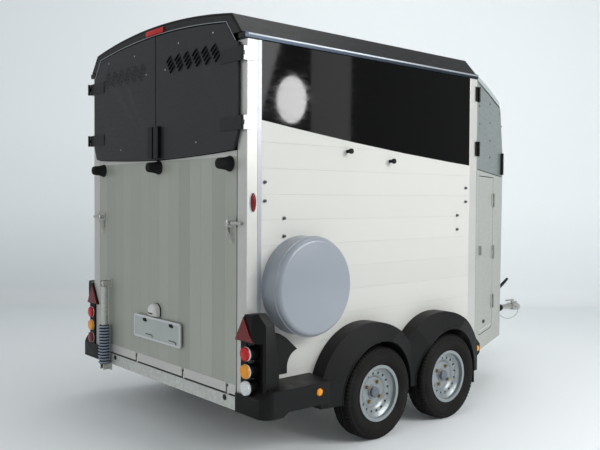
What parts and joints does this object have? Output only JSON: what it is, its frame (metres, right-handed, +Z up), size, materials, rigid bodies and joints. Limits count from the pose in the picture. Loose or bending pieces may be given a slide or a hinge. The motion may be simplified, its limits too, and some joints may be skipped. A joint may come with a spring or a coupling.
{
  "type": "horse trailer",
  "caption": "Closed trailer for horses with a rear ramp, split top doors, dark side windows, nose doors on both sides, tandem axles and a jockey wheel.",
  "frame": {"origin": "on the floor, under the middle of the whole trailer from ramp feet to coupling", "axes": "+X forward towards the coupling, +Y to the left, +Z up"},
  "size_m": [4.4299, 2.3268, 2.685],
  "materials": {
    "galvanised_steel": "galvanised, matt",
    "side_aluminium": "anodised planks, satin",
    "ramp_aluminium": "anodised planks, satin",
    "post_aluminium": "anodised, satin",
    "rail_aluminium": "anodised, bright",
    "roof_shell": "moulded, satin",
    "cap_shell": "moulded, gloss",
    "window": "dark tinted",
    "grey_door": "moulded, gloss",
    "black_plastic": "moulded, satin",
    "floor_board": "coated board",
    "padding": "smooth",
    "black_rubber": "moulded",
    "tyre": "moulded tread",
    "wheel_steel": "silver paint",
    "zinc": "zinc plated",
    "grey_plastic": "moulded",
    "cover_plastic": "moulded, gloss",
    "red_lens": "clear coloured lens",
    "amber_lens": "clear coloured lens",
    "steel_cable": "stranded, coated"
  },
  "bodies": {
    "trailer_body": {"chassis_frame": "galvanised_steel", "drawbar": "galvanised_steel", "floor": "floor_board", "axles": "galvanised_steel", "side_walls": "side_aluminium", "side_windows": "window", "corner_posts": "post_aluminium", "mudflaps": "black_rubber", "roof_rails": "rail_aluminium", "roof": "roof_shell", "rear_header": "roof_shell", "nose_cap": "cap_shell", "nose_sides": "side_aluminium", "nose_front": "grey_door", "spring_gaiter": "black_rubber", "partition": "padding", "stall_bars": "zinc", "fenders": "black_plastic", "lamp_housings": "black_plastic", "tail_lamps": "red_lens", "reflectors": "red_lens", "side_markers": "amber_lens", "marker_brackets": "black_plastic", "wheel_chocks": "black_plastic", "door_holdbacks": "black_rubber", "spare_cover": "cover_plastic", "body_hinges": "black_plastic", "coupling_head": "galvanised_steel", "coupling_handle": "zinc", "brake_lever": "black_plastic", "jockey_clamp": "zinc", "breakaway_cable": "steel_cable"},
    "ramp": {"ramp": "ramp_aluminium", "ramp_stops": "black_rubber", "ramp_hardware": "zinc", "plate_holder": "grey_plastic", "plate_lamp": "grey_plastic", "spring_bar": "galvanised_steel"},
    "jockey_swivel": {"jockey_fork": "zinc"},
    "jockey_roller": {"jockey_wheel": "black_rubber"},
    "top_door_left": {"top_door_left": "roof_shell", "top_door_fittings_left": "black_plastic"},
    "nose_upper_door_left": {"nose_upper_door_left": "grey_door", "nose_upper_fittings_left": "black_plastic"},
    "nose_lower_door_left": {"nose_lower_door_left": "side_aluminium", "nose_lower_fittings_left": "black_plastic"},
    "wheel_rear_left": {"tyre_rear_left": "tyre", "rim_rear_left": "wheel_steel"},
    "wheel_front_left": {"tyre_front_left": "tyre", "rim_front_left": "wheel_steel"},
    "top_door_right": {"top_door_right": "roof_shell", "top_door_fittings_right": "black_plastic"},
    "nose_upper_door_right": {"nose_upper_door_right": "grey_door", "nose_upper_fittings_right": "black_plastic"},
    "nose_lower_door_right": {"nose_lower_door_right": "side_aluminium", "nose_lower_fittings_right": "black_plastic"},
    "wheel_rear_right": {"tyre_rear_right": "tyre", "rim_rear_right": "wheel_steel"},
    "wheel_front_right": {"tyre_front_right": "tyre", "rim_front_right": "wheel_steel"}
  },
  "joints": [
    {"name": "ramp_hinge", "type": "hinge", "parent": "trailer_body", "child": "ramp", "pos_m": [-2.105, 0, 0.43], "axis": [0, -1, 0], "range_deg": [0, 103], "deforming": ["spring_gaiter"]},
    {"name": "jockey_swivel_turn", "type": "hinge", "parent": "trailer_body", "child": "jockey_swivel", "pos_m": [1.515, 0.15, 0.3], "axis": [0, 0, 1], "continuous": true},
    {"name": "jockey_wheel_spin", "type": "hinge", "parent": "jockey_swivel", "child": "jockey_roller", "pos_m": [1.473, 0.15, 0.1], "axis": [0, 1, 0], "continuous": true},
    {"name": "wheel_spin_rear_left", "type": "hinge", "parent": "trailer_body", "child": "wheel_rear_left", "pos_m": [-1.132, 1.012, 0.298], "axis": [0, 1, 0], "continuous": true},
    {"name": "wheel_spin_rear_right", "type": "hinge", "parent": "trailer_body", "child": "wheel_rear_right", "pos_m": [-1.132, -1.012, 0.298], "axis": [0, 1, 0], "continuous": true},
    {"name": "wheel_spin_front_left", "type": "hinge", "parent": "trailer_body", "child": "wheel_front_left", "pos_m": [-0.412, 1.012, 0.298], "axis": [0, 1, 0], "continuous": true},
    {"name": "wheel_spin_front_right", "type": "hinge", "parent": "trailer_body", "child": "wheel_front_right", "pos_m": [-0.412, -1.012, 0.298], "axis": [0, 1, 0], "continuous": true},
    {"name": "top_door_hinge_left", "type": "hinge", "parent": "trailer_body", "child": "top_door_left", "pos_m": [-2.163, 0.967, 2.175], "axis": [0, 0, -1], "range_deg": [0, 266]},
    {"name": "nose_upper_hinge_left", "type": "hinge", "parent": "trailer_body", "child": "nose_upper_door_left", "pos_m": [0.07963, 0.97014, 2.137], "axis": [0, 0, 1], "range_deg": [0, 196]},
    {"name": "nose_lower_hinge_left", "type": "hinge", "parent": "trailer_body", "child": "nose_lower_door_left", "pos_m": [0.60265, 0.7645, 1.1], "axis": [0, 0, -1], "range_deg": [0, 150]},
    {"name": "top_door_hinge_right", "type": "hinge", "parent": "trailer_body", "child": "top_door_right", "pos_m": [-2.163, -0.967, 2.175], "axis": [0, 0, 1], "range_deg": [0, 266]},
    {"name": "nose_upper_hinge_right", "type": "hinge", "parent": "trailer_body", "child": "nose_upper_door_right", "pos_m": [0.07963, -0.97014, 2.137], "axis": [0, 0, -1], "range_deg": [0, 196]},
    {"name": "nose_lower_hinge_right", "type": "hinge", "parent": "trailer_body", "child": "nose_lower_door_right", "pos_m": [0.60265, -0.7645, 1.1], "axis": [0, 0, 1], "range_deg": [0, 150]}
  ]
}
